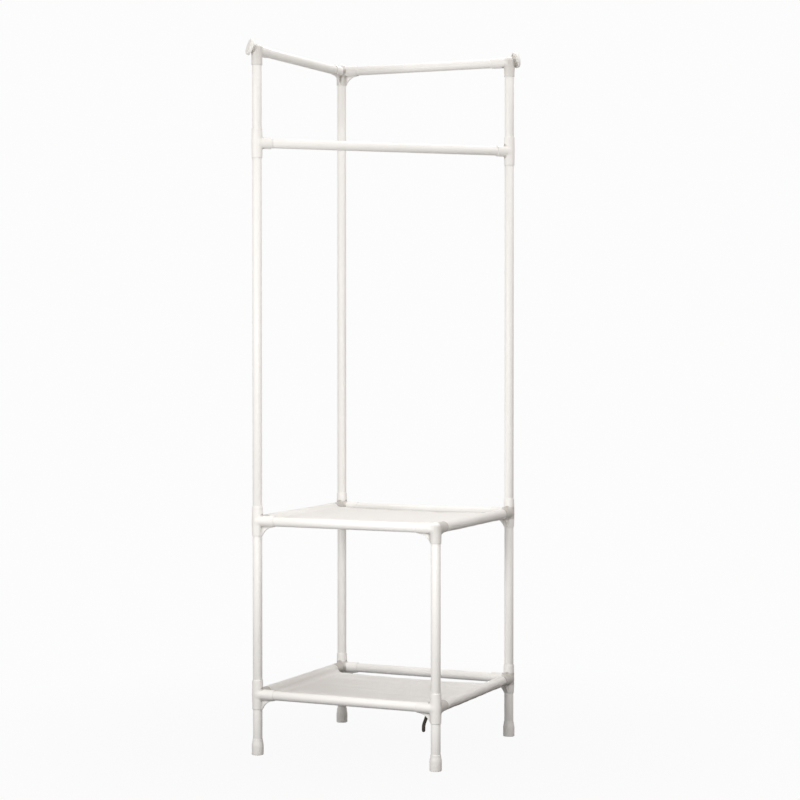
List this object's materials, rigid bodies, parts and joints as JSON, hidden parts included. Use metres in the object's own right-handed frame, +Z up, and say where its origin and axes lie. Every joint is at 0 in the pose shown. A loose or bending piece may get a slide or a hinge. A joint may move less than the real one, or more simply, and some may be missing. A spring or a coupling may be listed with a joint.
{
  "type": "corner coat rack",
  "caption": "Free-standing white corner coat rack of tubes in push-fit connectors, with cloth shelves, a hanging rail across the corner and round-headed hat pegs.",
  "frame": {"origin": "on the floor, at the middle of the square plan of the posts", "axes": "+Z up; the posts stand at +-X, +-Y; the short front post is at +X -Y and the corner of the top rails is at -X +Y"},
  "size_m": [0.5052, 0.5052, 1.6588],
  "materials": {
    "white_paint": "white powder coat, satin",
    "white_plastic": "moulded, fine matte",
    "shelf_cloth": "thin off-white cloth",
    "dark_tape": "narrow woven tape"
  },
  "bodies": {
    "root": {"foot_left": "white_plastic", "foot_right": "white_plastic", "foot_back": "white_plastic", "foot_front": "white_plastic", "post_left_leg": "white_paint", "post_left_lower": "white_paint", "post_left_upper": "white_paint", "post_left_top": "white_paint", "post_right_leg": "white_paint", "post_right_lower": "white_paint", "post_right_upper": "white_paint", "post_right_top": "white_paint", "post_back_leg": "white_paint", "post_back_lower": "white_paint", "post_back_upper": "white_paint", "post_front_leg": "white_paint", "post_front_lower": "white_paint", "low_rail_left": "white_paint", "low_rail_right": "white_paint", "low_rail_front": "white_paint", "low_rail_back": "white_paint", "mid_rail_left": "white_paint", "mid_rail_right": "white_paint", "mid_rail_front": "white_paint", "mid_rail_back": "white_paint", "top_rail_left": "white_paint", "top_rail_back": "white_paint", "hanging_rail": "white_paint", "low_connector_left": "white_plastic", "low_connector_right": "white_plastic", "low_connector_back": "white_plastic", "low_connector_front": "white_plastic", "mid_connector_left": "white_plastic", "mid_connector_right": "white_plastic", "mid_connector_back": "white_plastic", "mid_connector_front": "white_plastic", "hang_connector_left": "white_plastic", "hang_connector_right": "white_plastic", "top_connector_left": "white_plastic", "top_connector_right": "white_plastic", "top_connector_back": "white_plastic", "hat_peg_left": "white_plastic", "hat_peg_right": "white_plastic", "low_shelf_cloth": "shelf_cloth", "mid_shelf_cloth": "shelf_cloth", "hem_tie_tape": "dark_tape"}
  },
  "joints": []
}
